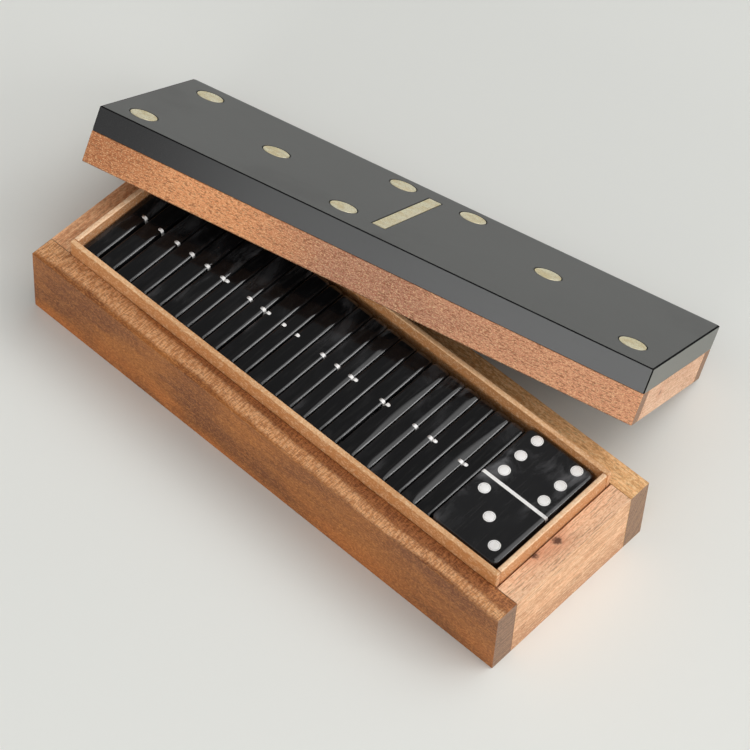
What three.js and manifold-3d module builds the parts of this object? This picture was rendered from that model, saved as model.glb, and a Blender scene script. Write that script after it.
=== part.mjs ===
// A boxed set of domino tiles: a wooden box with a proud liner, a lid of wood and dark slab with brass
// inlays that leans open over the box, a row of tiles on edge and a pile of flat tiles with one face up.
// Millimetres. The origin is the centre of the box's underside, +X runs along the box and +Z is up.
import * as THREE from "three";
import { mergeVertices } from "three/addons/utils/BufferGeometryUtils.js";
import Module from "manifold-3d";

const wasm = await Module();
wasm.setup();

// ---- driving dimensions -------------------------------------------------------------------------
const BOX_LENGTH = 210;
const BOX_WIDTH = 74;
const BOX_HEIGHT = 28;
const BOARD = 9; // thickness of the box's boards
const LID_BOARD = 6; // thickness of the lid's boards
const BOARD_EDGE = 0.6; // bevel along the outer edges of the boards
const PANEL_THICKNESS = 2.5;
const LINER_THICKNESS = 2;
const LINER_RISE = 6.4; // how far the liner stands above the rim, inside the closed lid
const JOINT_GAP = 0.1; // between glued faces that lie along the axes
const TURNED_GAP = 0.3; // between faces of the turned lid, where the glue line shows

const LID_FRAME_HEIGHT = 11.6;
const SLAB_THICKNESS = 9;
const SLAB_EDGE = 0.5; // bevel round the slab
const LID_YAW = THREE.MathUtils.degToRad(12.7); // in plan, from the box's length
const LID_TILT = THREE.MathUtils.degToRad(35.9); // about the far lower edge, which stands on the table
const LID_CORNER = { x: -125.8, y: 52.8, z: 0.1 }; // the lid's far left lower corner
const INLAY_DEPTH = 1.5;
const INLAY_GAP = 0.3; // all round and under each brass inlay
const BRASS_PIP_RADIUS = 5;
// Hand-set centres of the brass inlays, along and across from the slab's middle.
const BRASS_FIVE = [[-92.5, 25.5], [-15, 27.5], [-53.5, 0.5], [-93.5, -25.5], [-16.5, -22.5]];
const BRASS_THREE = [[12.5, 28], [50, 6.5], [92, -21.5]];
const BRASS_BAR = { along: 4.8, across: 52, centre: [-2, 1] };

const TILE = { length: 50, width: 27.6, thickness: 6.85, corner: 2.6, bevel: 0.6 };
// The standing tiles are hand-cut and loosely set, so each takes its own share of the row's length.
const STANDING_PITCHES = [
  7.25, 7.75, 7.75, 7, 7.25, 7.25, 5.5, 7, 6.25, 7.5, 6, 7.25,
  6.5, 6.5, 6.25, 7, 7, 7.5, 7, 6.75, 6.75, 6.5, 6.25,
];
const STANDING_GAP = 0.25; // least air between two standing tiles
const THICKEST = 6.8;
const PILE_COUNT = 4;
const PILE_GAP = 0.3; // air under each tile
const TILE_SIDE_GAP = 0.3; // tile end to the liner
const PIP_RADIUS = 2.15;
const PIP_ACROSS = 8.5; // between neighbouring pips, across the tile
// The face-up tile's halves: value, where its pips' middle lies along the tile, and their pitch along it.
const NEAR_HALF = { value: 3, centre: -11.6, along: 7.2 };
const FAR_HALF = { value: 6, centre: 13.4, along: 8.1 };
const DIVIDER_WIDTH = 1.3;
const DIVIDER_CENTRE = 0.6; // along the tile from its middle
const INSET_DEPTH = 1.4; // pips and divider, set in flush
const INSET_GAP = 0.06;

// ---- derived places -----------------------------------------------------------------------------
const INNER_LENGTH = BOX_LENGTH - 2 * (BOARD + LINER_THICKNESS);
const INNER_WIDTH = BOX_WIDTH - 2 * (BOARD + LINER_THICKNESS);
const ROW_START = -INNER_LENGTH / 2;
const FLAT_START = ROW_START + STANDING_PITCHES.reduce((sum, pitch) => sum + pitch, 0);
const FLOOR_Z = PANEL_THICKNESS + PILE_GAP;

// ---- materials ----------------------------------------------------------------------------------
const material = (color, roughness, metalness = 0) =>
  new THREE.MeshStandardMaterial({ color, roughness, metalness });
const LOOKS = {
  boxWood: () => material(0x9a6238, 0.55),
  endWood: () => material(0xcf9c72, 0.6),
  linerWood: () => material(0xd9b083, 0.6),
  lidWood: () => material(0xa9643f, 0.6),
  panelWood: () => material(0xc79a66, 0.65),
  slab: () => material(0x3c3c3b, 0.45),
  brass: () => material(0xcdc08a, 0.35, 1),
  tile: () => material(0x0b0b0d, 0.15),
  inset: () => material(0xf1efe8, 0.35),
};

// ---- solids -------------------------------------------------------------------------------------
// A geometry as a manifold solid, so that pockets can be cut.
function solid(geometry) {
  const plain = geometry.clone();
  plain.deleteAttribute("normal");
  plain.deleteAttribute("uv");
  const merged = mergeVertices(plain, 1e-4);
  return new wasm.Manifold(
    new wasm.Mesh({
      numProp: 3,
      vertProperties: merged.attributes.position.array,
      triVerts: new Uint32Array(merged.index.array),
    }),
  );
}

function geometryOf(manifold) {
  const mesh = manifold.getMesh();
  return new THREE.BufferGeometry()
    .setAttribute("position", new THREE.BufferAttribute(mesh.vertProperties, 3))
    .setIndex(new THREE.BufferAttribute(mesh.triVerts, 1))
    .toNonIndexed();
}

function cut(geometry, tools) {
  let body = solid(geometry);
  for (const tool of tools) body = body.subtract(solid(tool));
  const result = geometryOf(body);
  result.computeVertexNormals();
  return result;
}

function named(name, geometry, look) {
  const mesh = new THREE.Mesh(geometry, LOOKS[look]());
  mesh.name = name;
  return mesh;
}

// A rectangle with rounded corners, centred on the origin.
function roundedRectangle(length, width, corner) {
  const x = length / 2;
  const y = width / 2;
  const shape = new THREE.Shape();
  shape.moveTo(-x + corner, -y);
  shape.lineTo(x - corner, -y);
  shape.absarc(x - corner, -y + corner, corner, -Math.PI / 2, 0);
  shape.lineTo(x, y - corner);
  shape.absarc(x - corner, y - corner, corner, 0, Math.PI / 2);
  shape.lineTo(-x + corner, y);
  shape.absarc(-x + corner, y - corner, corner, Math.PI / 2, Math.PI);
  shape.lineTo(-x, -y + corner);
  shape.absarc(-x + corner, -y + corner, corner, Math.PI, 1.5 * Math.PI);
  return shape;
}

// A plate on z = 0 with its outline's edges bevelled above and below.
function bevelledPlate(outline, thickness, bevel, curveSegments) {
  return new THREE.ExtrudeGeometry(outline, {
    depth: thickness - 2 * bevel,
    bevelEnabled: true,
    bevelThickness: bevel,
    bevelSize: bevel,
    bevelOffset: -bevel,
    bevelSegments: 1,
    curveSegments,
  }).translate(0, 0, bevel);
}

// A board between two corners, with a bevel along the edges that run the long way.
function board(low, high, edge) {
  const size = high.map((value, axis) => value - low[axis]);
  const along = size[0] >= size[1] ? 0 : 1;
  const run = size[along];
  const depth = size[1 - along] / 2;
  const rise = size[2] / 2;
  const outline = new THREE.Shape([
    new THREE.Vector2(-depth + edge, -rise),
    new THREE.Vector2(depth - edge, -rise),
    new THREE.Vector2(depth, -rise + edge),
    new THREE.Vector2(depth, rise - edge),
    new THREE.Vector2(depth - edge, rise),
    new THREE.Vector2(-depth + edge, rise),
    new THREE.Vector2(-depth, rise - edge),
    new THREE.Vector2(-depth, -rise + edge),
  ]);
  const geometry = new THREE.ExtrudeGeometry(outline, { depth: run, bevelEnabled: false });
  geometry.translate(0, 0, -run / 2);
  geometry.rotateX(Math.PI / 2); // the run now lies along Y, with the section upright
  if (along === 0) geometry.rotateZ(Math.PI / 2);
  return geometry.translate(...low.map((value, axis) => (value + high[axis]) / 2));
}

function disc(radius, depth, topZ, segments = 20) {
  return new THREE.CylinderGeometry(radius, radius, depth, segments)
    .rotateX(Math.PI / 2)
    .translate(0, 0, topZ - depth / 2);
}

function bar(sizeX, sizeY, depth, topZ) {
  return new THREE.BoxGeometry(sizeX, sizeY, depth).translate(0, 0, topZ - depth / 2);
}

// ---- box ----------------------------------------------------------------------------------------
// Four boards round a rectangle: two run the full length, two stand between them.
function boardFrame(prefix, names, outer, thickness, z, gap, edge, look) {
  const x = outer.length / 2;
  const y = outer.width / 2;
  const endY = y - thickness - gap;
  const places = [
    [[-x, -y, z.low], [x, -y + thickness, z.high]],
    [[-x, y - thickness, z.low], [x, y, z.high]],
    [[-x, -endY, z.low], [-x + thickness, endY, z.high]],
    [[x - thickness, -endY, z.low], [x, endY, z.high]],
  ];
  return places.map(([low, high], i) => named(prefix + names[i], board(low, high, edge), look[i]));
}

const SIDES = ["near", "far", "left", "right"];

function makeBox() {
  const group = new THREE.Group();
  const outer = { length: BOX_LENGTH, width: BOX_WIDTH };
  const looks = ["boxWood", "boxWood", "endWood", "endWood"];
  group.add(
    ...boardFrame("box_board_", SIDES, outer, BOARD, { low: 0, high: BOX_HEIGHT }, JOINT_GAP, BOARD_EDGE, looks),
  );
  const inset = BOARD + JOINT_GAP;
  const panel = bar(BOX_LENGTH - 2 * inset, BOX_WIDTH - 2 * inset, PANEL_THICKNESS, PANEL_THICKNESS);
  group.add(named("bottom_panel", panel, "panelWood"));
  return group;
}

function makeLiner() {
  const outer = { length: BOX_LENGTH - 2 * (BOARD + JOINT_GAP), width: BOX_WIDTH - 2 * (BOARD + JOINT_GAP) };
  const z = { low: PANEL_THICKNESS + JOINT_GAP, high: BOX_HEIGHT + LINER_RISE };
  const looks = SIDES.map(() => "linerWood");
  const strip = LINER_THICKNESS - JOINT_GAP;
  const group = new THREE.Group();
  group.add(...boardFrame("liner_strip_", SIDES, outer, strip, z, JOINT_GAP, 0.2, looks));
  return group;
}

// ---- lid ----------------------------------------------------------------------------------------
const BRASS_PIPS = [...BRASS_FIVE, ...BRASS_THREE];

function makeSlab() {
  const top = SLAB_THICKNESS / 2;
  const pocketDepth = INLAY_DEPTH + INLAY_GAP;
  const block = bevelledPlate(roundedRectangle(BOX_LENGTH, BOX_WIDTH, 1), SLAB_THICKNESS, SLAB_EDGE, 1);
  block.translate(0, 0, -SLAB_THICKNESS / 2);
  const pips = BRASS_PIPS.map(([x, y]) =>
    disc(BRASS_PIP_RADIUS + INLAY_GAP, pocketDepth + 1, top + 1, 24).translate(x, y, 0),
  );
  const barPocket = bar(
    BRASS_BAR.along + 2 * INLAY_GAP,
    BRASS_BAR.across + 2 * INLAY_GAP,
    pocketDepth + 1,
    top + 1,
  ).translate(...BRASS_BAR.centre, 0);
  return cut(block, [...pips, barPocket]);
}

function makeLid() {
  const group = new THREE.Group();
  const outer = { length: BOX_LENGTH, width: BOX_WIDTH };
  const looks = ["lidWood", "lidWood", "endWood", "endWood"];
  const z = { low: 0, high: LID_FRAME_HEIGHT - TURNED_GAP };
  group.add(...boardFrame("lid_board_", SIDES, outer, LID_BOARD, z, TURNED_GAP, BOARD_EDGE / 2, looks));
  const slab = named("lid_slab", makeSlab(), "slab");
  slab.position.z = LID_FRAME_HEIGHT + SLAB_THICKNESS / 2;
  group.add(slab);
  const slabTop = LID_FRAME_HEIGHT + SLAB_THICKNESS;
  BRASS_PIPS.forEach(([x, y], i) => {
    const pip = named("brass_pip_" + (i + 1), disc(BRASS_PIP_RADIUS, INLAY_DEPTH, slabTop, 24), "brass");
    pip.position.set(x, y, 0);
    group.add(pip);
  });
  const brassBar = bar(BRASS_BAR.along, BRASS_BAR.across, INLAY_DEPTH, slabTop).translate(...BRASS_BAR.centre, 0);
  group.add(named("brass_bar", brassBar, "brass"));
  // The lid's own frame has its far left lower corner at (-length / 2, width / 2, 0).
  group.position.set(BOX_LENGTH / 2, -BOX_WIDTH / 2, 0);
  const tilted = new THREE.Group();
  tilted.rotation.set(-LID_TILT, 0, 0);
  tilted.add(group);
  const turned = new THREE.Group();
  turned.rotation.z = LID_YAW;
  turned.position.set(LID_CORNER.x, LID_CORNER.y, LID_CORNER.z);
  turned.add(tilted);
  return turned;
}

// ---- tiles --------------------------------------------------------------------------------------
// A tile lying flat with its length along Y, its width along X and its underside at z = 0.
function tileBlock(thickness = TILE.thickness) {
  return bevelledPlate(roundedRectangle(TILE.width, TILE.length, TILE.corner), thickness, TILE.bevel, 2);
}

// Pips of one square half, by value, on a grid of three by three steps: along and across.
const PIP_GRID = {
  3: [[-1, 1], [0, 0], [1, -1]],
  6: [[-1, 1], [0, 1], [1, 1], [-1, -1], [0, -1], [1, -1]],
};

// Pip centres of one half, as x across and y along the tile.
const halfCentres = ({ value, centre, along }) =>
  PIP_GRID[value].map(([u, v]) => [v * PIP_ACROSS, centre + u * along]);

function makeStandingTiles() {
  const group = new THREE.Group();
  const y = -INNER_WIDTH / 2 + TILE_SIDE_GAP + TILE.length / 2;
  let end = ROW_START;
  STANDING_PITCHES.forEach((pitch, i) => {
    end += pitch;
    const thickness = Math.min(THICKEST, pitch - STANDING_GAP);
    const geometry = tileBlock(thickness)
      .translate(0, 0, -thickness / 2)
      .rotateY(Math.PI / 2)
      .translate(end - (STANDING_GAP + thickness) / 2, y, FLOOR_Z + TILE.width / 2);
    group.add(named("standing_tile_" + String(i + 1).padStart(2, "0"), geometry, "tile"));
  });
  return group;
}

function makeFaceUpTile(x, y, z) {
  const group = new THREE.Group();
  const top = TILE.thickness;
  const pocket = (radius) => disc(radius, INSET_DEPTH + INSET_GAP + 1, top + 1);
  const pips = [...halfCentres(NEAR_HALF), ...halfCentres(FAR_HALF)];
  const grooveDepth = INSET_DEPTH + INSET_GAP + 1;
  const groove = bar(TILE.width + 2, DIVIDER_WIDTH + 2 * INSET_GAP, grooveDepth, top + 1);
  groove.translate(0, DIVIDER_CENTRE, 0);
  const pockets = pips.map(([px, py]) => pocket(PIP_RADIUS + INSET_GAP).translate(px, py, 0));
  group.add(named("face_up_tile", cut(tileBlock(), [...pockets, groove]), "tile"));
  const divider = bar(TILE.width - 2 * TILE.bevel, DIVIDER_WIDTH, INSET_DEPTH, top);
  divider.translate(0, DIVIDER_CENTRE, 0);
  group.add(named("face_up_divider", divider, "inset"));
  pips.forEach(([px, py], i) => {
    const pip = named("face_up_pip_" + (i + 1), disc(PIP_RADIUS, INSET_DEPTH, top), "inset");
    pip.position.set(px, py, 0);
    group.add(pip);
  });
  group.position.set(x, y, z);
  return group;
}

function makePile() {
  const group = new THREE.Group();
  const x = FLAT_START + TILE_SIDE_GAP + TILE.width / 2;
  const y = INNER_WIDTH / 2 - TILE_SIDE_GAP - TILE.length / 2;
  for (let i = 0; i < PILE_COUNT - 1; i++) {
    const z = FLOOR_Z + i * (TILE.thickness + PILE_GAP);
    group.add(named("flat_tile_" + (i + 1), tileBlock().translate(x, y, z), "tile"));
  }
  const topZ = FLOOR_Z + (PILE_COUNT - 1) * (TILE.thickness + PILE_GAP);
  group.add(makeFaceUpTile(x, y, topZ));
  return group;
}

const group = new THREE.Group();
group.add(makeBox(), makeLiner(), makeLid(), makeStandingTiles(), makePile());

export default group;
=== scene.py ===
"""Looks for the boxed domino tile set: a wooden box with a proud liner, a leaning lid of wood and dark
slab with brass inlays, a row of black tiles on edge and a pile of flat tiles with one face up."""
import math

import bmesh
import bpy
from mathutils import Matrix, Vector


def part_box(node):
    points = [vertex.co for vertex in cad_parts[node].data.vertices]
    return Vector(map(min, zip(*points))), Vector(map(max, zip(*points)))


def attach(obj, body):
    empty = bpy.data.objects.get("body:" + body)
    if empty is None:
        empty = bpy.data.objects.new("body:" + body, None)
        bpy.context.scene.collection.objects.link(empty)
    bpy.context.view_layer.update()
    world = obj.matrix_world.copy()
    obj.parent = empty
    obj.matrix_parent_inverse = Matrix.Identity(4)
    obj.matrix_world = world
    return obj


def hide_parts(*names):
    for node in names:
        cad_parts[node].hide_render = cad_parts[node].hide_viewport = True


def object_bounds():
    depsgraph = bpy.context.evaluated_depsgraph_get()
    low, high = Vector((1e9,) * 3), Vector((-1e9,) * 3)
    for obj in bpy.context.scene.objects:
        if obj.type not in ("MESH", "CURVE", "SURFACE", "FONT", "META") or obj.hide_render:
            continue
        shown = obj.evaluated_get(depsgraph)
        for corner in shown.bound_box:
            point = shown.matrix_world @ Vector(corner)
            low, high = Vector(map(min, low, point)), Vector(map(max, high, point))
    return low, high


MM = 0.001

# ---- camera ---------------------------------------------------------------------------------------
CAMERA_AZIMUTH = math.radians(39.41)
CAMERA_ELEVATION = math.radians(53.31)
CAMERA_ROLL = math.radians(4.11)
CAMERA_DISTANCE = 1.1325
CAMERA_LENS = 161.75
CAMERA_AIM = Vector((0.0157, -0.0202, -0.0190))  # from the middle of the object's box

# ---- object, as the frame's source has it ---------------------------------------------------------
BOX_LENGTH = 210 * MM
BOX_WIDTH = 74 * MM
BOX_TOP = 28 * MM
LID_BOARD = 6 * MM
LID_FRAME_HEIGHT = 11.5 * MM
SLAB_LOW = 11.6 * MM
SLAB_HIGH = 20.6 * MM
LID_YAW = math.radians(12.7)
LID_TILT = math.radians(35.9)
LID_CORNER = Vector((-125.8, 52.8, 0.1)) * MM  # the lid's far left lower corner
LID_GAP = 0.3 * MM  # between the turned lid's boards
BRASS_PIP_RADIUS = 4.8 * MM
BRASS_BAR = (4.8 * MM, 52 * MM)
BRASS_DEPTH = 1.5 * MM
BRASS_GAP = 0.4 * MM
BRASS_PIP_COUNT = 8
TILE_CORNER = 2.6 * MM
PIP_RADIUS = 2.15 * MM
PIP_HALF_CENTRE = 12.6 * MM
PIP_PITCH = (7.9 * MM, 8.5 * MM)
DIVIDER_WIDTH = 1.3 * MM
INLAY_DEPTH = 1.4 * MM
STANDING_COUNT = 23
FLAT_COUNT = 3
FACE_UP_PIP_COUNT = 9
LEFT_FACING = (7, 10, 11, 12, 16, 18, 21, 23)  # standing tiles whose pips look along -X

# ---- details that only the looks have --------------------------------------------------------------
BOARD_ROUND = 0.16 * MM
LINER_ROUND = 0.5 * MM
PANEL_ROUND = 0.2 * MM
LID_ROUND = 0.3 * MM
BRASS_PIP_ROUND = 0.15 * MM
BRASS_BAR_ROUND = 0.12 * MM
LINER_FOOT_GAP = 0.45 * MM  # the thin dark line between the right end board and the liner
SLAB_SEAM = 0.6 * MM  # the dark glue line along the slab's edges
TILE_EDGE = 0.8 * MM  # rounding between a tile's face and its long sides
TILE_END = (1.3 * MM, 2.3 * MM)  # the same at its short ends: in from the end, down from the face
FACET_SLOPE = 0.22  # the steepest part of the hand-polished facets beside a tile's edges
LEAST_FACET = 0.05  # mm, where a tile's edge has no facet to speak of
FACET_REACH = 23 * MM  # how far a facet runs towards each end from the tile's middle
INLAY_PROUD = 0.02 * MM
DIVIDER_DEPTH = 1.9 * MM
DIVIDER_ROUND = 0.6 * MM  # at the bottom of the divider's groove
VALUE_STRIDE = 11  # picks the other tiles' values in a mixed order


# ---- shader helpers -------------------------------------------------------------------------------
def rgba(colour):
    return (*colour, 1.0) if len(colour) == 3 else tuple(colour)


def srgb(red, green, blue):
    """A colour from 0..255 display values, in linear light."""
    def linear(value):
        share = value / 255
        return share / 12.92 if share <= 0.04045 else ((share + 0.055) / 1.055) ** 2.4

    return (linear(red), linear(green), linear(blue))


class Nodes:
    """A material's node tree with short calls for the nodes used here."""

    def __init__(self, name):
        self.material = bpy.data.materials.new(name)
        self.material.use_nodes = True
        self.tree = self.material.node_tree
        self.shader = self.tree.nodes["Principled BSDF"]

    def add(self, kind):
        return self.tree.nodes.new("ShaderNode" + kind)

    def put(self, socket, value):
        """Links a socket, or sets a number or colour on it."""
        if isinstance(value, bpy.types.NodeSocket):
            self.tree.links.new(value, socket)
        else:
            socket.default_value = rgba(value) if socket.type == "RGBA" else value

    def place(self, shift=(0, 0, 0)):
        """Object coordinates in metres, moved so that like pieces don't look alike."""
        return self.mapping(self.add("TexCoord").outputs["Object"], location=shift)

    def mapping(self, vector, scale=(1, 1, 1), rotation=(0, 0, 0), location=(0, 0, 0)):
        node = self.add("Mapping")
        node.inputs["Scale"].default_value = scale
        node.inputs["Rotation"].default_value = rotation
        node.inputs["Location"].default_value = location
        self.put(node.inputs["Vector"], vector)
        return node.outputs["Vector"]

    def noise(self, vector, scale, detail=4.0, roughness=0.5, distortion=0.0):
        node = self.add("TexNoise")
        node.inputs["Scale"].default_value = scale
        node.inputs["Detail"].default_value = detail
        node.inputs["Roughness"].default_value = roughness
        node.inputs["Distortion"].default_value = distortion
        self.put(node.inputs["Vector"], vector)
        return node.outputs["Fac"]

    def noise_line(self, value, scale, detail=2.0):
        """Noise along one number."""
        node = self.add("TexNoise")
        node.noise_dimensions = "1D"
        node.inputs["Scale"].default_value = scale
        node.inputs["Detail"].default_value = detail
        self.put(node.inputs["W"], value)
        return node.outputs["Fac"]

    def window(self, factor, low, high):
        """0 at low, 1 at high, smooth between; low may be above high."""
        node = self.add("MapRange")
        node.interpolation_type = "SMOOTHSTEP"
        flipped = low > high
        node.inputs["From Min"].default_value = min(low, high)
        node.inputs["From Max"].default_value = max(low, high)
        node.inputs["To Min"].default_value = 1.0 if flipped else 0.0
        node.inputs["To Max"].default_value = 0.0 if flipped else 1.0
        self.put(node.inputs["Value"], factor)
        return node.outputs["Result"]

    def level(self, factor, low, high):
        """A factor mapped from 0..1 to low..high."""
        node = self.add("MapRange")
        node.inputs["To Min"].default_value = low
        node.inputs["To Max"].default_value = high
        self.put(node.inputs["Value"], factor)
        return node.outputs["Result"]

    def math(self, operation, a, b=0.0):
        node = self.add("Math")
        node.operation = operation
        self.put(node.inputs[0], a)
        self.put(node.inputs[1], b)
        return node.outputs["Value"]

    def times(self, *factors):
        """The product of its factors."""
        result = factors[0]
        for factor in factors[1:]:
            result = self.math("MULTIPLY", result, factor)
        return result

    def vector_math(self, operation, a, b=None):
        node = self.add("VectorMath")
        node.operation = operation
        self.put(node.inputs[0], a)
        if b is not None:
            self.put(node.inputs[1], b)
        return node.outputs["Value" if operation in ("LENGTH", "DOT_PRODUCT") else "Vector"]

    def axes(self, vector):
        node = self.add("SeparateXYZ")
        self.put(node.inputs["Vector"], vector)
        return node.outputs

    def mix(self, factor, a, b):
        node = self.add("Mix")
        node.data_type = "RGBA"
        self.put(node.inputs[0], factor)
        self.put(node.inputs[6], a)
        self.put(node.inputs[7], b)
        return node.outputs[2]

    def bump(self, height, strength, distance):
        node = self.add("Bump")
        node.inputs["Strength"].default_value = strength
        node.inputs["Distance"].default_value = distance
        self.put(node.inputs["Height"], height)
        return node.outputs["Normal"]

    def facing(self, axis):
        """How squarely the surface looks along an object axis, 0..1 and regardless of sign."""
        normal = self.add("TexCoord").outputs["Normal"]
        return self.math("ABSOLUTE", self.vector_math("DOT_PRODUCT", normal, axis))

    def finish(self, colour, roughness, normal=None, **sockets):
        self.put(self.shader.inputs["Base Color"], colour)
        self.put(self.shader.inputs["Roughness"], roughness)
        if normal is not None:
            self.put(self.shader.inputs["Normal"], normal)
        for name, value in sockets.items():
            self.shader.inputs[name.replace("_", " ")].default_value = value
        return self.material


# ---- materials ------------------------------------------------------------------------------------
ALONG_X = (1, 0, 0)
ALONG_Y = (0, 1, 0)
DARK_END = srgb(130, 100, 78)  # the cut ends of the darker boards
PITH = (0.03, -0.05)  # the tree's middle, across the grain from a piece's origin


def growth_rings(nodes, place, shifted):
    """The distance from the tree's middle, and the same distance bent as real rings are."""
    drift = nodes.noise(nodes.mapping(shifted, scale=(0.25, 1, 1)), 22, detail=2)
    waver = nodes.noise(nodes.mapping(shifted, scale=(0.2, 1, 1)), 160, detail=2)
    axes = nodes.axes(nodes.mapping(place, location=(0, *PITH)))
    squared = nodes.math("ADD", nodes.times(axes["Y"], axes["Y"]), nodes.times(axes["Z"], axes["Z"]))
    radius = nodes.math("SQRT", squared)
    bent = nodes.math("ADD", radius, nodes.times(nodes.math("ADD", drift, -0.5), 0.010))
    bent = nodes.math("ADD", bent, nodes.times(nodes.math("ADD", waver, -0.5), 0.0016))
    return radius, bent


def wood(name, grain, seed, dark, middle, light, end, rings=0.3, fibre=0.3, fleck=0.5, pores=0.3, grit=1700,
         stretch=0.45, pore_stretch=0.3, gloss=0.5, knots=(), figure=None):
    """Wood with its grain along X or Y: growth rings, long fibre, fleck, open pores and darker end grain."""
    nodes = Nodes(name)
    turn = (0, 0, 0) if grain == ALONG_X else (0, 0, -math.pi / 2)
    place = nodes.mapping(nodes.place(), rotation=turn)
    shifted = nodes.mapping(place, location=(0.31 * seed, 0.17 * seed, 0.23 * seed))
    radius, bent = growth_rings(nodes, place, shifted)

    def drawn_out(share, scale, detail, roughness=0.5):
        """Noise stretched along the grain."""
        return nodes.noise(nodes.mapping(shifted, scale=(share, 1, 1)), scale, detail, roughness)

    ring_noise = nodes.noise_line(bent, 420, detail=3)
    fibre_noise = drawn_out(0.05, 1900, 3)
    coarse = drawn_out(stretch, grit * 0.5, 2, 0.7)
    fine = drawn_out(stretch, grit, 2, 0.75)
    pore = nodes.window(drawn_out(pore_stretch, grit * 1.1, 1, 0.6), 0.54, 0.64)
    broad = drawn_out(0.4, 60, 3)

    tone = nodes.math("ADD", nodes.times(ring_noise, rings), nodes.times(broad, 1 - rings))
    speck = nodes.math("ADD", nodes.times(coarse, 0.3), nodes.times(fine, 0.7))
    colour = nodes.mix(nodes.window(tone, 0.34, 0.66), dark, middle)
    colour = nodes.mix(nodes.times(nodes.window(fibre_noise, 0.48, 0.66), fibre), colour, light)
    colour = nodes.mix(nodes.times(nodes.window(fibre_noise, 0.46, 0.34), fibre * 0.8), colour, dark)
    if figure is not None:
        colour = figure(nodes, colour, broad)
    shade = tuple(channel * 0.40 for channel in dark)
    colour = nodes.mix(nodes.times(nodes.window(speck, 0.50, 0.60), fleck), colour, light)
    colour = nodes.mix(nodes.times(nodes.window(speck, 0.49, 0.38), fleck), colour, dark)
    colour = nodes.mix(nodes.times(pore, pores), colour, shade)
    for centre, size, strength in knots:
        colour = knot(nodes, colour, centre, size, strength)
    cut_end = nodes.times(nodes.window(nodes.facing(grain), 0.6, 0.9), 0.95)
    colour = nodes.mix(cut_end, colour, end_grain(nodes, shifted, radius, end))
    relief = nodes.math("SUBTRACT", nodes.times(fibre_noise, 0.5), pore)
    dullness = nodes.math("ADD", nodes.times(fine, 0.5), nodes.times(pore, 0.5))
    roughness = nodes.level(dullness, gloss, gloss + 0.2)
    return nodes.finish(colour, roughness, nodes.bump(relief, 0.35, 0.00008))


def end_grain(nodes, shifted, radius, tint):
    """The cut end of a board: fine arcs and open pores."""
    arcs = nodes.noise_line(radius, 900, detail=2)
    dots = nodes.noise(shifted, 1700, detail=2, roughness=0.7)
    light = tuple(min(1.0, channel * 1.45) for channel in tint)
    dark = tuple(channel * 0.5 for channel in tint)
    colour = nodes.mix(nodes.window(arcs, 0.4, 0.62), tint, light)
    return nodes.mix(nodes.times(nodes.window(dots, 0.50, 0.64), 0.7), colour, dark)


def knot(nodes, colour, centre, size, strength):
    """A small soft knot: a dark eye with a wide reddish halo."""
    place = nodes.place()
    offset = nodes.vector_math("SUBTRACT", place, tuple(centre))
    scaled = nodes.vector_math("MULTIPLY", offset, tuple(1 / value for value in size))
    ragged = nodes.times(nodes.math("ADD", nodes.noise(place, 700, detail=3), -0.5), 2.2)
    distance = nodes.math("ADD", nodes.vector_math("LENGTH", scaled), ragged)
    halo_share = nodes.times(nodes.window(distance, 5.5, 1.0), 0.45 * strength)
    halo = nodes.mix(halo_share, colour, srgb(198, 122, 88))
    return nodes.mix(nodes.times(nodes.window(distance, 1.5, 0.4), strength), halo, srgb(84, 48, 30))


# A figure paints what belongs to one board only. It is given the wood's colour and its broad, slow noise.
def near_board_figure(nodes, colour, broad):
    """The near board: a golden band along its top, red-brown by the liner (its wood, deepened by painted
    shade at the liner's foot), orange low on its side.
    """
    axes = nodes.axes(nodes.place())
    on_top = nodes.window(axes["Z"], BOX_TOP - 1.0 * MM, BOX_TOP - 0.2 * MM)
    wander = nodes.times(nodes.math("ADD", broad, -0.5), 0.006)
    drift = nodes.times(nodes.window(axes["X"], -0.09, 0.07), 0.0036)  # the band nears the outer edge
    across = nodes.math("ADD", nodes.math("ADD", axes["Y"], wander), drift)
    wider = nodes.times(nodes.window(axes["X"], -0.02, -0.09), 0.0020)  # the band is widest at the left
    inward = nodes.math("SUBTRACT", across, wider)
    outward = nodes.math("ADD", across, wider)
    # The red-brown strip along the liner's foot is partly the wood's own tone and partly painted shade in
    # the crease between board and liner.
    by_liner = nodes.window(inward, -0.0300, -0.0280)
    liner_foot_wood_and_shade = nodes.times(on_top, by_liner, nodes.window(axes["X"], -0.097, -0.070))
    outer_side = nodes.window(outward, -0.0346, -0.0326)
    band = nodes.times(on_top, outer_side, nodes.window(inward, -0.0286, -0.0306))
    ripple_place = nodes.mapping(nodes.place(), rotation=(0, 0, 0.9), scale=(1, 0.22, 1))
    ripple = nodes.window(nodes.noise(ripple_place, 1500, detail=2, distortion=0.3), 0.40, 0.60)
    golden = nodes.mix(ripple, srgb(196, 134, 84), srgb(244, 190, 138))
    reddish = nodes.mix(ripple, srgb(138, 82, 46), srgb(186, 120, 72))
    low = nodes.times(nodes.window(axes["Z"], 0.0130, 0.0040), nodes.window(broad, 0.42, 0.58))
    to_the_right = nodes.window(axes["X"], 0.0, 0.09)
    colour = nodes.mix(nodes.times(low, 0.55), colour, srgb(192, 108, 40))
    colour = nodes.mix(nodes.times(to_the_right, 0.3), colour, srgb(126, 74, 34))
    colour = nodes.mix(nodes.times(band, 0.85), colour, golden)
    return nodes.mix(nodes.times(liner_foot_wood_and_shade, 0.85), colour, reddish)


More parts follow.
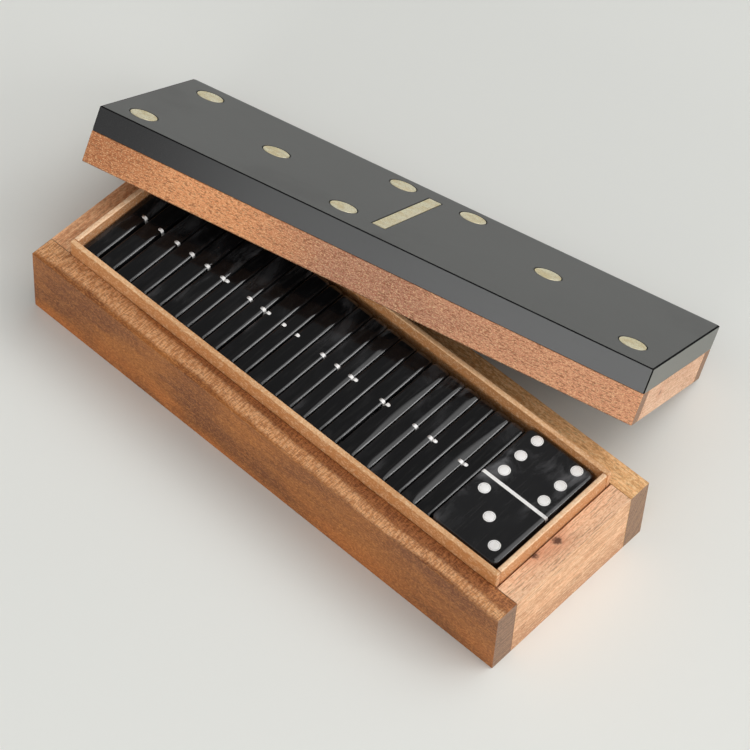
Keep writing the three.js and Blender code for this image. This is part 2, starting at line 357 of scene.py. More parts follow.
def end_board_figure(nodes, colour, broad):
    """The right end board's top is painted paler, as painted light, and the board darkens towards its foot.
    """
    top = nodes.window(nodes.facing((0, 0, 1)), 0.6, 0.9)
    foot = nodes.window(nodes.axes(nodes.place())["Z"], 0.0130, 0.0020)
    # Painted light: the top faces are mixed towards a pale colour to stand in for the light they catch.
    colour = nodes.mix(nodes.times(top, 0.5), colour, srgb(255, 212, 176))
    return nodes.mix(nodes.times(foot, 0.75), colour, srgb(182, 130, 92))


def liner_figure(nodes, colour, broad):
    """The liner's sawn sides are a deeper orange than its planed top, partly the wood's tone and partly
    painted shade on its upright faces.
    """
    side = nodes.window(nodes.facing((0, 0, 1)), 0.5, 0.1)
    # Painted shade: the upright faces are mixed towards a deeper orange, over the wood's own tone.
    return nodes.mix(nodes.times(side, 0.85), colour, srgb(188, 118, 56))


def lid_board_figure(nodes, colour, broad):
    """The lid's long boards: brown-orange at the left, pinkish in the middle and peach at the right, with
    painted shade on the underside.
    """
    axes = nodes.axes(nodes.place())
    wander = nodes.times(nodes.math("ADD", broad, -0.5), 0.03)
    along = nodes.math("ADD", axes["X"], wander)
    tone = nodes.mix(nodes.window(along, 0.0, 0.035), srgb(178, 106, 56), srgb(232, 156, 100))
    tone = nodes.mix(nodes.window(along, 0.055, 0.100), tone, srgb(160, 112, 94))
    tone = nodes.mix(nodes.window(along, 0.120, 0.180), tone, srgb(218, 154, 116))
    colour = nodes.mix(0.75, colour, tone)
    # Painted shade: the underside is darkened to stand in for the shadow under the lid.
    painted_underside_shade = nodes.window(axes["Z"], 0.0005, 0.0002)
    return nodes.mix(nodes.times(painted_underside_shade, 0.8), colour, srgb(60, 36, 20))


def slab_material():
    """Polished near-black slab with faint smoky smudges. Its near side carries a painted reflection that
    brightens towards the right, and its right end is painted paler as painted light.
    """
    nodes = Nodes("dark_slab_polished")
    place = nodes.place()
    haze = nodes.noise(place, 30, detail=3, roughness=0.5)
    grain = nodes.noise(place, 2400, detail=2, roughness=0.7)
    dust = nodes.noise(place, 420, detail=3)
    axes = nodes.axes(place)
    # Painted reflection: the near side runs from near-black at the left to grey at the right.
    side = nodes.window(axes["Y"], 0.0008, 0.0003)
    painted_side_reflection = nodes.mix(nodes.window(axes["X"], 0.010, 0.075), srgb(12, 12, 14), srgb(66, 67, 67))
    colour = nodes.mix(nodes.window(haze, 0.58, 0.72), srgb(42, 43, 43), srgb(26, 26, 28))
    colour = nodes.mix(side, colour, painted_side_reflection)
    # Painted light: the right end face is mixed towards a pale grey for the light that falls on it.
    colour = nodes.mix(nodes.window(axes["X"], 0.2092, 0.2097), colour, srgb(84, 86, 78))
    colour = nodes.mix(nodes.times(nodes.window(grain, 0.42, 0.75), 0.25), colour, srgb(64, 64, 62))
    colour = nodes.mix(nodes.times(nodes.window(dust, 0.55, 0.75), 0.2), colour, srgb(58, 59, 56))
    roughness = nodes.level(haze, 0.27, 0.31)
    return nodes.finish(colour, roughness, nodes.bump(grain, 0.12, 0.00002))


def slab_seam_material():
    """The black glue line along the slab's edges."""
    nodes = Nodes("slab_seam_black")
    grain = nodes.noise(nodes.place(), 1800, detail=2)
    colour = nodes.mix(nodes.window(grain, 0.4, 0.7), srgb(8, 8, 9), srgb(22, 22, 22))
    return nodes.finish(colour, 0.8, Specular_IOR_Level=0.1)


def brass_material():
    """Pale brass, sanded flush: fine speckle and slight tarnish blooms."""
    nodes = Nodes("brass_sanded")
    place = nodes.place()
    bloom = nodes.noise(place, 260, detail=4, roughness=0.6)
    speckle = nodes.noise(place, 2300, detail=2, roughness=0.7)
    colour = nodes.mix(nodes.window(bloom, 0.40, 0.66), srgb(255, 248, 220), srgb(244, 230, 188))
    colour = nodes.mix(nodes.times(nodes.window(speckle, 0.50, 0.36), 0.5), colour, srgb(196, 176, 130))
    roughness = nodes.level(bloom, 0.42, 0.58)
    return nodes.finish(colour, roughness, nodes.bump(speckle, 0.2, 0.00002), Metallic=1.0)


def tile_material(name, seed, cloud, black=15):
    """Polished black with soft grey clouds drawn out along the tile."""
    nodes = Nodes(name)
    place = nodes.place((0.013 * seed, 0.071 * seed, 0.029 * seed))
    cloud_place = nodes.mapping(place, scale=(1, 0.5, 1.2))
    cloud_noise = nodes.noise(cloud_place, 110, detail=6, roughness=0.62, distortion=0.7)
    patch = nodes.noise(nodes.mapping(place, scale=(1, 0.6, 1)), 45, detail=2)
    threads = nodes.noise(nodes.mapping(place, scale=(1, 0.06, 1)), 1300, detail=2)
    haze = nodes.times(nodes.window(cloud_noise, 0.46, 0.74), nodes.window(patch, 0.42, 0.62), cloud)
    colour = nodes.mix(haze, srgb(black, black, black + 1), srgb(96, 96, 98))
    colour = nodes.mix(nodes.times(nodes.window(threads, 0.52, 0.72), 0.25), colour, srgb(54, 53, 52))
    roughness = nodes.level(threads, 0.08, 0.14)
    return nodes.finish(colour, roughness, nodes.bump(threads, 0.03, 0.00002), IOR=1.54)


def inlay_material():
    """White inlay with a trace of warm mottling."""
    nodes = Nodes("tile_white_inlay")
    mottle = nodes.noise(nodes.place(), 700, detail=3)
    colour = nodes.mix(nodes.window(mottle, 0.40, 0.66), srgb(252, 251, 249), srgb(245, 243, 239))
    return nodes.finish(colour, nodes.level(mottle, 0.25, 0.4), nodes.bump(mottle, 0.05, 0.00003))


def floor_material():
    """The plain pale floor."""
    nodes = Nodes("floor_pale")
    return nodes.finish(srgb(235, 236, 231), 0.6)


def tones(dark, middle, light):
    """A wood's three colours, from 0..255 display values."""
    return {"dark": srgb(*dark), "middle": srgb(*middle), "light": srgb(*light)}


def box_woods():
    """The woods of the box, by the name that its pieces ask for."""
    red_brown = tones((112, 58, 16), (166, 98, 32), (214, 146, 80))
    golden = tones((196, 138, 80), (250, 194, 134), (255, 222, 170))
    orange = tones((184, 120, 76), (244, 178, 128), (255, 214, 166))
    peach = tones((206, 146, 102), (236, 182, 138), (252, 216, 176))
    tan = tones((212, 156, 104), (242, 192, 142), (255, 224, 182))
    pale_tan = tones((222, 172, 128), (250, 208, 166), (255, 234, 200))
    tan_end = srgb(204, 156, 116)
    top_knots = (((0.0983, -0.0010, 0.0280), (0.0013, 0.0017, 0.0013), 0.95),
                 ((0.0967, -0.0102, 0.0280), (0.0013, 0.0016, 0.0013), 0.95))
    liner = {"end": tan_end, "rings": 0.1, "fibre": 0.1, "fleck": 0.4, "pores": 0.12, "stretch": 0.7,
             "figure": liner_figure}
    return {
        "box_near": wood("box_wood_near", ALONG_X, 1, end=DARK_END, rings=0.15, fibre=0.15, fleck=0.42,
                         pores=0.3, grit=2400, stretch=0.45, figure=near_board_figure, **red_brown),
        "box_far": wood("box_wood_far", ALONG_X, 2, end=DARK_END, rings=0.4, fibre=0.4, fleck=0.5, pores=0.3,
                        **golden),
        "box_left": wood("box_end_wood_left", ALONG_Y, 3, end=DARK_END, rings=0.4, fibre=0.4, fleck=0.4,
                         pores=0.25, **orange),
        "box_right": wood("box_end_wood_right", ALONG_Y, 4, end=DARK_END, rings=0.5, fibre=0.45, fleck=0.5,
                          pores=0.45, grit=2300, stretch=0.4, pore_stretch=0.07, knots=top_knots,
                          figure=end_board_figure, **peach),
        "liner_long": wood("liner_wood_long", ALONG_X, 5, **liner, **tan),
        "liner_short": wood("liner_wood_short", ALONG_Y, 6, **liner, **pale_tan),
        "panel": wood("panel_wood_pale", ALONG_X, 7, end=tan_end, gloss=0.6, **tan),
    }


def lid_woods():
    """The woods of the lid: reddish long boards and paler end boards."""
    reddish = tones((186, 104, 52), (244, 160, 104), (255, 216, 160))
    pale_peach = tones((200, 148, 112), (226, 182, 148), (246, 214, 184))
    end_knot = (((0.2100, 0.0224, 0.0070), (0.0010, 0.0010, 0.0009), 0.6),)
    return {
        "lid_long": wood("lid_wood_long", ALONG_X, 8, end=DARK_END, rings=0.15, fibre=0.4, fleck=0.5,
                         pores=0.6, grit=2900, stretch=0.5, pore_stretch=0.22, figure=lid_board_figure,
                         **reddish),
        "lid_short": wood("lid_end_wood", ALONG_Y, 9, end=DARK_END, rings=0.4, fibre=0.5, fleck=0.4,
                          pores=0.25, knots=end_knot, **pale_peach),
    }


def make_materials():
    """Every material, by the name that the pieces ask for."""
    clouds = {"a": 0.7, "b": 0.3, "c": 1.0, "d": 0.5, "e": 0.6}  # how cloudy each black is
    tile_blacks = [tile_material("tile_black_" + letter, seed, cloud)
                   for seed, (letter, cloud) in enumerate(clouds.items(), start=1)]
    return {
        **box_woods(),
        **lid_woods(),
        "slab": slab_material(),
        "slab_seam": slab_seam_material(),
        "brass": brass_material(),
        "tiles": tile_blacks,
        "face_tile": tile_material("tile_black_face", 8, 1.5, 28),
        "inlay": inlay_material(),
        "floor": floor_material(),
    }


# ---- meshes ---------------------------------------------------------------------------------------
def piece_from(name, bm, material, body, matrix=None, smooth=True):
    """Makes a piece of a bmesh, with weighted normals so that flats stay flat beside roundings."""
    bmesh.ops.recalc_face_normals(bm, faces=bm.faces)
    for face in bm.faces:
        face.smooth = smooth
    mesh = bpy.data.meshes.new(name)
    bm.to_mesh(mesh)
    bm.free()
    mesh.materials.append(material)
    piece = bpy.data.objects.new(name, mesh)
    bpy.context.scene.collection.objects.link(piece)
    if matrix is not None:
        piece.matrix_world = matrix
    if smooth:
        weighted = piece.modifiers.new("flat_faces", "WEIGHTED_NORMAL")
        weighted.keep_sharp = True
    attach(piece, body)
    return piece


def corners(node):
    """The lowest and highest corner of a CAD node."""
    low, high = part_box(node)
    return Vector(low), Vector(high)


def loft(bm, rings):
    """A closed skin over rings of equal length, with a face over each end."""
    loops = [[bm.verts.new(point) for point in points] for points in rings]
    count = len(loops[0])
    for lower, upper in zip(loops, loops[1:]):
        for i in range(count):
            j = (i + 1) % count
            bm.faces.new((lower[i], lower[j], upper[j], upper[i]))
    bm.faces.new(list(reversed(loops[0])))
    bm.faces.new(loops[-1])


def rounded_box(low, high, edge, segments=3):
    """A box between two corners with all its edges rounded."""
    bm = bmesh.new()
    bmesh.ops.create_cube(bm, size=1)
    size = high - low
    middle = (low + high) / 2
    for vert in bm.verts:
        vert.co = Vector(middle[axis] + vert.co[axis] * size[axis] for axis in range(3))
    bmesh.ops.bevel(bm, geom=bm.edges[:], offset=edge, segments=segments, profile=0.5, affect="EDGES")
    return bm


def lathe(bm, profile, centre, segments):
    """Turns (radius, height) points about a vertical axis; closed at both ends."""
    rings = []
    for radius, height in profile:
        rings.append([
            (centre[0] + radius * math.cos(2 * math.pi * i / segments),
             centre[1] + radius * math.sin(2 * math.pi * i / segments),
             height)
            for i in range(segments)
        ])
    loft(bm, rings)


# ---- box ------------------------------------------------------------------------------------------
def make_box(materials):
    """The boards, the liner that stands above them and the bottom panel."""
    looks = {
        "box_board_near": ("box_near", "box_wood"),
        "box_board_far": ("box_far", "box_wood"),
        "box_board_left": ("box_left", "box_end_wood"),
        "box_board_right": ("box_right", "box_end_wood"),
    }
    for node, (look, slot) in looks.items():
        low, high = corners(node)
        if node == "box_board_right":
            low.x += LINER_FOOT_GAP
        bm = rounded_box(low, high, BOARD_ROUND)
        piece = piece_from(node + "_finished", bm, materials[look], "box")
        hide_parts(node)
    for side in ("near", "far", "left", "right"):
        node = "liner_strip_" + side
        look = "liner_long" if side in ("near", "far") else "liner_short"
        bm = rounded_box(*corners(node), LINER_ROUND)
        piece = piece_from(node + "_finished", bm, materials[look], "box")
        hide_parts(node)
    bm = rounded_box(*corners("bottom_panel"), PANEL_ROUND, 2)
    panel = piece_from("bottom_panel_finished", bm, materials["panel"], "box")
    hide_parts("bottom_panel")


# ---- lid ------------------------------------------------------------------------------------------
def lid_matrix():
    """From the lid's own frame, with its near left lower corner at the origin, to the part's frame."""
    turn = Matrix.Rotation(LID_YAW, 4, "Z") @ Matrix.Rotation(-LID_TILT, 4, "X")
    return Matrix.Translation(LID_CORNER) @ turn @ Matrix.Translation((0, -BOX_WIDTH, 0))


def lid_place(node):
    """Where the middle of one of the lid's nodes lies along and across the lid."""
    low, high = corners(node)
    place = lid_matrix().inverted() @ ((low + high) / 2)
    return (place.x, place.y)


def circle(centre, radius, segments):
    """Points round a circle."""
    return [(centre[0] + radius * math.cos(2 * math.pi * i / segments),
             centre[1] + radius * math.sin(2 * math.pi * i / segments)) for i in range(segments)]


def cut_rectangle(centre, half_x, half_y, cut):
    """A rectangle with its corners cut off; its odd edges are the sides and its even ones the cuts."""
    points = []
    for sx, sy, along_first in ((-1, -1, False), (1, -1, True), (1, 1, False), (-1, 1, True)):
        along = (centre[0] + sx * (half_x - cut), centre[1] + sy * half_y)
        across = (centre[0] + sx * half_x, centre[1] + sy * (half_y - cut))
        points += [along, across] if along_first else [across, along]
    return points


def rectangle(centre, half_x, half_y):
    """A rectangle's corners."""
    return [(centre[0] + sx * half_x, centre[1] + sy * half_y)
            for sx, sy in ((-1, -1), (1, -1), (1, 1), (-1, 1))]


def slab_shell(bm):
    """The slab's underside and sides, with its glue line as material 1. Returns the loop round its top."""
    half_x, half_y = BOX_LENGTH / 2, BOX_WIDTH / 2
    foot_round = 0.1 * MM
    heights_and_insets = ((SLAB_LOW, foot_round), (SLAB_LOW + foot_round, 0),
                          (SLAB_HIGH - SLAB_SEAM * 0.5, 0), (SLAB_HIGH, SLAB_SEAM))
    levels = []
    for height, inset in heights_and_insets:
        outline = cut_rectangle((half_x, half_y), half_x - inset, half_y - inset, SLAB_SEAM * 0.7)
        levels.append([bm.verts.new((x, y, height)) for x, y in outline])
    count = len(levels[0])
    top_step = len(levels) - 2
    for step, (lower, upper) in enumerate(zip(levels, levels[1:])):
        for i in range(count):
            j = (i + 1) % count
            face = bm.faces.new((lower[i], lower[j], upper[j], upper[i]))
            face.material_index = 1 if step == top_step or i % 2 == 0 else 0
    bm.faces.new(list(reversed(levels[0])))
    return levels[-1]


def slab_mesh(pockets, depth):
    """The slab with a pocket for each inlay: its top is one face with holes."""
    bm = bmesh.new()
    rims = [slab_shell(bm)]
    for outline in pockets:
        rim = [bm.verts.new((x, y, SLAB_HIGH)) for x, y in outline]
        floor = [bm.verts.new((x, y, SLAB_HIGH - depth)) for x, y in outline]
        for i in range(len(rim)):
            j = (i + 1) % len(rim)
            bm.faces.new((rim[j], rim[i], floor[i], floor[j]))
        bm.faces.new(floor)
        rims.append(rim)
    edges = []
    for rim in rims:
        for i in range(len(rim)):
            pair = (rim[i], rim[(i + 1) % len(rim)])
            edges.append(bm.edges.get(pair) or bm.edges.new(pair))
    bmesh.ops.triangle_fill(bm, use_beauty=True, edges=edges, normal=(0, 0, 1))
    return bm


def make_lid_boards(materials, matrix):
    """The frame's four boards: the short ones lie between the long ones."""
    inner_y = LID_BOARD + LID_GAP
    boards = {
        "lid_board_near": (0, BOX_LENGTH, 0, LID_BOARD),
        "lid_board_far": (0, BOX_LENGTH, BOX_WIDTH - LID_BOARD, BOX_WIDTH),
        "lid_board_left": (0, LID_BOARD, inner_y, BOX_WIDTH - inner_y),
        "lid_board_right": (BOX_LENGTH - LID_BOARD, BOX_LENGTH, inner_y, BOX_WIDTH - inner_y),
    }
    for node, (low_x, high_x, low_y, high_y) in boards.items():
        is_long = node in ("lid_board_near", "lid_board_far")
        look, slot = ("lid_long", "lid_wood") if is_long else ("lid_short", "lid_end_wood")
        bm = rounded_box(Vector((low_x, low_y, 0)), Vector((high_x, high_y, LID_FRAME_HEIGHT)), LID_ROUND)
        piece = piece_from(node + "_finished", bm, materials[look], "lid", matrix)
        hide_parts(node)


def make_slab(materials, matrix, centres, middle):
    """The slab, with pockets a little wider than the brass pips at the centres and the bar at the middle."""
    pockets = [circle(centre, BRASS_PIP_RADIUS + BRASS_GAP, 64) for centre in centres]
    pockets.append(rectangle(middle, BRASS_BAR[0] / 2 + BRASS_GAP, BRASS_BAR[1] / 2 + BRASS_GAP))
    bm = slab_mesh(pockets, BRASS_DEPTH + BRASS_GAP)
    slab = piece_from("lid_slab_finished", bm, materials["slab"], "lid", matrix, smooth=False)
    slab.data.materials.append(materials["slab_seam"])
    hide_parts("lid_slab")


def make_brass(materials, matrix, centres, middle):
    """The round inlays and the bar, flush with the slab."""
    radius, round_off = BRASS_PIP_RADIUS, BRASS_PIP_ROUND
    profile = ((radius, SLAB_HIGH - BRASS_DEPTH), (radius, SLAB_HIGH - round_off),
               (radius - round_off * 0.3, SLAB_HIGH - round_off * 0.3), (radius - round_off, SLAB_HIGH))
    for i, centre in enumerate(centres):
        bm = bmesh.new()
        lathe(bm, profile, centre, 64)
        node = "brass_pip_%d" % (i + 1)
        piece = piece_from(node + "_finished", bm, materials["brass"], "lid", matrix)
        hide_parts(node)
    half = Vector((BRASS_BAR[0] / 2, BRASS_BAR[1] / 2))
    low = Vector((middle[0] - half.x, middle[1] - half.y, SLAB_HIGH - BRASS_DEPTH))
    high = Vector((middle[0] + half.x, middle[1] + half.y, SLAB_HIGH))
    bm = rounded_box(low, high, BRASS_BAR_ROUND, 2)
    bar = piece_from("brass_bar_finished", bm, materials["brass"], "lid", matrix)
    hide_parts("brass_bar")


def make_lid(materials):
    matrix = lid_matrix()
    centres = [lid_place("brass_pip_%d" % (i + 1)) for i in range(BRASS_PIP_COUNT)]
    middle = lid_place("brass_bar")
    make_lid_boards(materials, matrix)
    make_slab(materials, matrix, centres, middle)
    make_brass(materials, matrix, centres, middle)


# ---- tiles ----------------------------------------------------------------------------------------
def tile_outline(half_x, half_y, corner):
    """Points (x, y) with their outward directions round a tile, closer together at the corners."""
    points = []
    corner_steps, side_steps = 6, 14
    for quarter in range(4):
        sign_x = 1 if quarter in (0, 3) else -1
        sign_y = 1 if quarter in (0, 1) else -1
        centre = (sign_x * (half_x - corner), sign_y * (half_y - corner))
        for step in range(corner_steps + 1):
            angle = math.pi / 2 * (quarter + step / corner_steps)
            out = (math.cos(angle), math.sin(angle))
            points.append((centre[0] + corner * out[0], centre[1] + corner * out[1], *out))
        start = points[-1]
        turned = math.pi / 2 * (quarter + 1)
        run = 2 * (half_x - corner) if quarter % 2 == 0 else 2 * (half_y - corner)
        heading = (-math.sin(turned), math.cos(turned))
        for step in range(1, side_steps):
            share = run * step / side_steps
            points.append((start[0] + heading[0] * share, start[1] + heading[1] * share, start[2], start[3]))
    return points


def edge_profile(edge_in, edge_down, side_facet, face_facet):
    """Steps (in, down) from a tile's side over its rounded edge to its face, with soft facets beside it."""
    steps = 3
    side_run, face_run = side_facet / steps, face_facet / steps
    points = [(0, edge_down + side_facet)]
    for step in range(1, steps):
        slope = FACET_SLOPE * step / steps
        points.append((points[-1][0] + side_run * slope, points[-1][1] - side_run))
    start = points[-1][0] + side_run * FACET_SLOPE
    end = face_run * FACET_SLOPE * (steps + 1) / 2
    for step in range(6):
        turn = math.pi / 2 * step / 5
        inward = start + (edge_in - start) * (1 - math.cos(turn))
        down = end + (edge_down - end) * (1 - math.sin(turn))
        points.append((inward, down))
    for step in reversed(range(1, steps)):
        slope = FACET_SLOPE * (step + 1) / steps
        points.append((points[-1][0] + face_run, points[-1][1] - face_run * slope))
    points.append((edge_in + face_facet, 0))
    return points


def tile_mesh(size, side_facet, face_facet):
    """A tile lying flat on its middle. Each facet function gives a width for a side (out_x), face and y."""
    bm = bmesh.new()
    half_z = size.z / 2
    lower, upper = [], []
    for x, y, out_x, out_y in tile_outline(size.x / 2, size.y / 2, TILE_CORNER):
        share = out_y ** 2
        edge_in = TILE_EDGE + (TILE_END[0] - TILE_EDGE) * share
        edge_down = TILE_EDGE + (TILE_END[1] - TILE_EDGE) * share
        for side, columns in ((-1, lower), (1, upper)):
            facets = (side_facet(out_x, side, y), face_facet(out_x, side, y))
            profile = edge_profile(edge_in, edge_down, *facets)
            columns.append([(x - out_x * inward, y - out_y * inward, side * (half_z - down))
                            for inward, down in profile])
    steps = len(lower[0])
    rings = [[column[i] for column in lower] for i in reversed(range(steps))]
    rings += [[column[i] for column in upper] for i in range(steps)]
    loft(bm, rings)
    return bm


def no_facet(out_x, side, y):
    """The facet of an edge that was left as it is."""
    return LEAST_FACET * MM


PIP_GRID = {
    0: (),
    1: ((0, 0),),
    2: ((-1, 1), (1, -1)),
    3: ((-1, 1), (0, 0), (1, -1)),
    4: ((-1, 1), (1, 1), (-1, -1), (1, -1)),
    5: ((-1, 1), (1, 1), (0, 0), (-1, -1), (1, -1)),
    6: ((-1, 1), (0, 1), (1, 1), (-1, -1), (0, -1), (1, -1)),
}


def pip_centres(first, second):
    """Places (along, across) of both halves' pips: first on the low half, second on the high one."""
    return [(side * PIP_HALF_CENTRE + u * PIP_PITCH[0], v * PIP_PITCH[1])
            for side, value in ((-1, first), (1, second)) for u, v in PIP_GRID[value]]


def pips_mesh(centres, half_z):
    """Pips at (along, across) places as one mesh of turned discs with faint rings."""
    bm = bmesh.new()
    top = half_z + INLAY_PROUD
    radius = PIP_RADIUS
    edge, ring_depth = 0.06 * MM, 0.03 * MM
    profile = ((radius, half_z - INLAY_DEPTH), (radius, top - edge), (radius - edge, top),
               (radius * 0.84, top), (radius * 0.80, top - ring_depth), (radius * 0.76, top),
               (radius * 0.1, top))
    for along, across in centres:
        lathe(bm, profile, (across, along), 32)
    return bm


def divider_mesh(size):
    """The bar across a tile's face, which wraps over both long edges and has a round-bottomed groove."""
    bm = bmesh.new()
    half_x, half_z = size.x / 2 + INLAY_PROUD, size.z / 2 + INLAY_PROUD
    half_width = DIVIDER_WIDTH / 2
    edge, round_off = TILE_EDGE, DIVIDER_ROUND
    arc = []
    for step in range(6):
        angle = math.pi / 2 * step / 5
        arc.append((half_x - edge * (1 - math.sin(angle)), half_z - edge * (1 - math.cos(angle))))
    rings = []
    for share in (-1, -0.92, -0.75, -0.5, -0.2, 0.2, 0.5, 0.75, 0.92, 1):
        y = share * half_width
        beyond = max(0.0, abs(y) - (half_width - round_off))
        low = half_z - DIVIDER_DEPTH + round_off - math.sqrt(max(0.0, round_off ** 2 - beyond ** 2))
        section = [(x, y, z) for x, z in arc] + [(half_x, y, low), (-half_x, y, low)]
        section += [(-x, y, z) for x, z in reversed(arc)]
        rings.append(section)
    loft(bm, rings)
    return bm


def other_values():
    """Values for the tiles other than the face-up six and three, in a mixed order."""
    pairs = [(low, high) for high in range(7) for low in range(high + 1) if (low, high) != (3, 6)]
    return [pairs[(i * VALUE_STRIDE) % len(pairs)] for i in range(STANDING_COUNT + FLAT_COUNT)]


def standing_matrix(centre, faces_left):
    """Stands a flat tile on its long edge with its face along +X or -X."""
    to_right = -1 if faces_left else 1
    axes = Matrix(((0, 0, to_right), (0, 1, 0), (-to_right, 0, 0)))
    return Matrix.Translation(centre) @ axes.to_4x4()


def make_tile(node, matrix, size, material, values, facet, inlay):
    """A tile that is its own body, with its divider and pips."""
    tile = piece_from(node + "_body", tile_mesh(size, facet, no_facet), material, node, matrix)
    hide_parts(node)
    piece_from(node + "_divider", divider_mesh(size), inlay, node, matrix)
    if sum(values):
        pips = pips_mesh(pip_centres(*values), size.z / 2)
        piece_from(node + "_pips", pips, inlay, node, matrix)


# Facets that hand polishing left on standing tiles: widths in mm at the near end, middle and far end.
FACETS = {
    2: (0.1, 0.2, 0.4), 6: (0.3, 0.2, 0.1), 9: (0.1, 0.4, 0.3), 12: (0.2, 0.1, 0.4), 15: (0.4, 1.0, 1.6),
    18: (0.5, 1.9, 0.5), 19: (1.2, 1.0, 0.7), 20: (0.8, 1.2, 1.9), 22: (1.5, 2.4, 0.8),
}


def facet_of(number, faces_left):
    """The facet on a standing tile's upper side, along the edge that looks along +X."""
    near, middle, far = FACETS.get(number, (LEAST_FACET,) * 3)
    upper, right = (1, -1) if faces_left else (-1, 1)

    def facet(out_x, side, y):
        if side != right or out_x * upper < 0.9:
            return LEAST_FACET * MM
        share = max(-1.0, min(1.0, y / FACET_REACH))
        end = far if share > 0 else near
        width = middle + (end - middle) * (1 - math.cos(math.pi * share)) / 2
        fade = min(1.0, (1.0 - abs(share)) * 10 + 0.2)
        return max(LEAST_FACET, width * fade) * MM

    return facet


def face_up_facet(out_x, side, y):
    """The face-up tile's facet along its right edge: wide at the near end, narrow at the far one."""
    if side < 0 or out_x < 0.9:
        return LEAST_FACET * MM
    return (0.85 - 0.5 * y / (24 * MM)) * MM


def make_standing_tiles(materials, values):
    blacks = materials["tiles"]
    for i in range(STANDING_COUNT):
        number = i + 1
        node = "standing_tile_%02d" % number
        low, high = corners(node)
        size = Vector((high.z - low.z, high.y - low.y, high.x - low.x))
        faces_left = number in LEFT_FACING
        matrix = standing_matrix((low + high) / 2, faces_left)
        facet = facet_of(number, faces_left)
        make_tile(node, matrix, size, blacks[i * 3 % len(blacks)], values[i], facet, materials["inlay"])


def make_flat_tiles(materials, values):
    for i in range(FLAT_COUNT):
        node = "flat_tile_%d" % (i + 1)
        low, high = corners(node)
        matrix = Matrix.Translation((low + high) / 2)
        make_tile(node, matrix, high - low, materials["tiles"][i], values[i], no_facet, materials["inlay"])


def make_face_up_tile(materials):
    body = "face_up_tile"
    inlay = materials["inlay"]
    low, high = corners(body)
    size = high - low
    matrix = Matrix.Translation((low + high) / 2)
    bm = tile_mesh(size, no_facet, face_up_facet)
    tile = piece_from("face_up_tile_body", bm, materials["face_tile"], body, matrix)
    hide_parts(body)

    low, high = corners("face_up_divider")
    shift = Matrix.Translation((0, (low.y + high.y) / 2 - matrix.translation.y, 0))
    bm = divider_mesh(size)
    divider = piece_from("face_up_divider_inlay", bm, inlay, body, matrix @ shift)
    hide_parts("face_up_divider")

    for i in range(FACE_UP_PIP_COUNT):
        node = "face_up_pip_%d" % (i + 1)
        low, high = corners(node)
        place = (low + high) / 2 - matrix.translation
        bm = pips_mesh([(place.y, place.x)], size.z / 2)
        pip = piece_from(node + "_inlay", bm, inlay, body, matrix)
        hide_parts(node)


def make_tiles(materials):
    values = other_values()
    make_standing_tiles(materials, values[:STANDING_COUNT])
    make_flat_tiles(materials, values[STANDING_COUNT:])
    make_face_up_tile(materials)


# ---- stage ----------------------------------------------------------------------------------------
def make_floor(material):
    bm = bmesh.new()
    bmesh.ops.create_grid(bm, x_segments=1, y_segments=1, size=6)
    mesh = bpy.data.meshes.new("floor")
    bm.to_mesh(mesh)
    bm.free()
    mesh.materials.append(material)
    floor = bpy.data.objects.new("floor", mesh)
    floor.location = (0, 0, -0.05 * MM)
    bpy.context.scene.collection.objects.link(floor)


def area_light(name, direction, distance, size, power, along=(1, 0, 0)):
    """A soft box that looks at the object from a direction, with its first side near to along."""
    data = bpy.data.lights.new(name, "AREA")
    data.shape = "RECTANGLE"
    data.size, data.size_y = size
    data.energy = power
    light = bpy.data.objects.new(name, data)
    back = Vector(direction).normalized()
    across = Vector(along).cross(back).normalized()
    turn = Matrix((across.cross(back), across, back)).transposed()
    light.matrix_world = Matrix.Translation(back * distance) @ turn.to_4x4()
    bpy.context.scene.collection.objects.link(light)


WORLD_STRENGTH = 0.54
# Patches of the room: direction, half angles where it starts and is full, and strength added there.
WORLD_PATCHES = (
    ((-0.38, 0.46, 0.80), 58, 20, -0.38),  # dim, where the tiles' tops mirror it
    ((0.24, 0.46, 0.855), 33, 8, 2.0),  # a soft bright window overhead
)


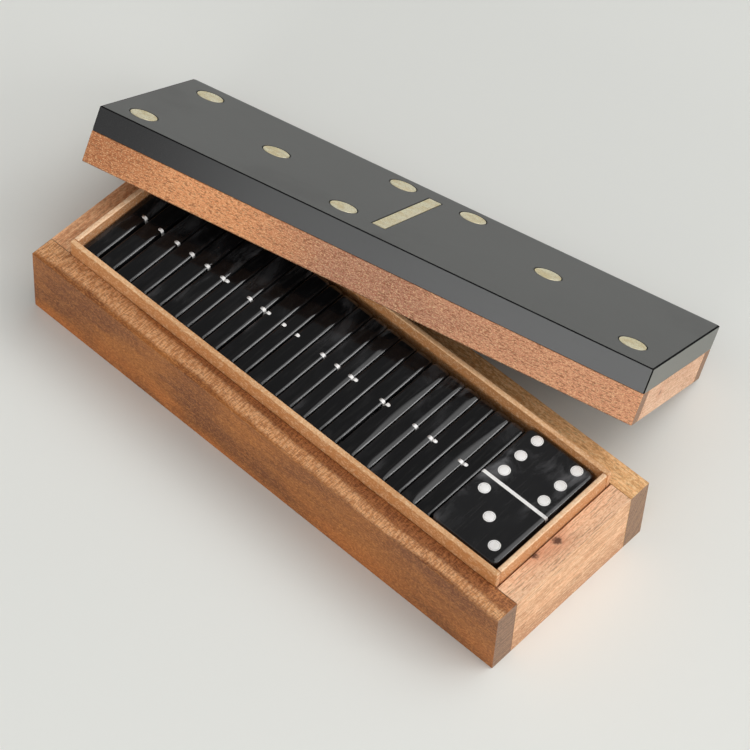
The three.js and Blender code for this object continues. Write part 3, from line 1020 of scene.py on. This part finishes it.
def make_world():
    """An even pale room with a dim patch and a soft bright one."""
    world = bpy.data.worlds.new("studio")
    world.use_nodes = True
    tree = world.node_tree
    background = tree.nodes["Background"]
    background.inputs["Color"].default_value = (1.0, 1.0, 1.0, 1.0)
    direction = tree.nodes.new("ShaderNodeTexCoord").outputs["Generated"]
    total = None
    for towards, start, full, strength in WORLD_PATCHES:
        along = tree.nodes.new("ShaderNodeVectorMath")
        along.operation = "DOT_PRODUCT"
        along.inputs[1].default_value = Vector(towards).normalized()
        tree.links.new(direction, along.inputs[0])
        fade = tree.nodes.new("ShaderNodeMapRange")
        fade.interpolation_type = "SMOOTHSTEP"
        fade.inputs["From Min"].default_value = math.cos(math.radians(start))
        fade.inputs["From Max"].default_value = math.cos(math.radians(full))
        fade.inputs["To Max"].default_value = strength
        tree.links.new(along.outputs["Value"], fade.inputs["Value"])
        add = tree.nodes.new("ShaderNodeMath")
        add.inputs[0].default_value = WORLD_STRENGTH
        if total is not None:
            tree.links.new(total, add.inputs[0])
        tree.links.new(fade.outputs["Result"], add.inputs[1])
        total = add.outputs["Value"]
    tree.links.new(total, background.inputs["Strength"])
    bpy.context.scene.world = world


def make_lights():
    """A narrow key light from the right, a soft one low at the right and a soft one from the front."""
    make_world()
    area_light("key", (0.66, 0.46, 0.60), 1.6, (1.2, 0.08), 2.4, along=(0.6, 0, -0.66))
    area_light("right", (0.90, 0.15, 0.34), 1.5, (0.9, 0.6), 5.8)
    area_light("front", (0.42, -1.63, 0.45), 1.7, (1.2, 0.5), 7.5)


def make_camera(bounds):
    low, high = (Vector(corner) for corner in bounds)
    aim = (low + high) / 2 + CAMERA_AIM
    back = Vector((
        math.sin(CAMERA_AZIMUTH) * math.cos(CAMERA_ELEVATION),
        -math.cos(CAMERA_AZIMUTH) * math.cos(CAMERA_ELEVATION),
        math.sin(CAMERA_ELEVATION),
    ))
    across = Vector((0, 0, 1)).cross(back).normalized()
    above = back.cross(across)
    right = across * math.cos(CAMERA_ROLL) + above * math.sin(CAMERA_ROLL)
    up = back.cross(right)
    data = bpy.data.cameras.new("camera")
    data.lens = CAMERA_LENS
    data.sensor_width = 36
    data.clip_start = 0.05
    data.clip_end = 50
    camera = bpy.data.objects.new("camera", data)
    turn = Matrix((right, up, back)).transposed()
    camera.matrix_world = Matrix.Translation(aim + back * CAMERA_DISTANCE) @ turn.to_4x4()
    bpy.context.scene.collection.objects.link(camera)
    bpy.context.scene.camera = camera


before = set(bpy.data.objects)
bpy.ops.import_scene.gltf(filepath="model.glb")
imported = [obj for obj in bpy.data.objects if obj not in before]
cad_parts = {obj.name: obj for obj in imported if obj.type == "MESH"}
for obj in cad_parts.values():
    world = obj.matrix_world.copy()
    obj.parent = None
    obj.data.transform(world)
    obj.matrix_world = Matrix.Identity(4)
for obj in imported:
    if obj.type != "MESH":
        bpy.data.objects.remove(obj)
cad_bounds = [list(corner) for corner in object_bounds()]
bpy.context.scene.view_settings.view_transform = "Standard"
make_camera(cad_bounds)
make_lights()
MATERIALS = make_materials()
make_floor(MATERIALS["floor"])
make_box(MATERIALS)
make_lid(MATERIALS)
make_tiles(MATERIALS)
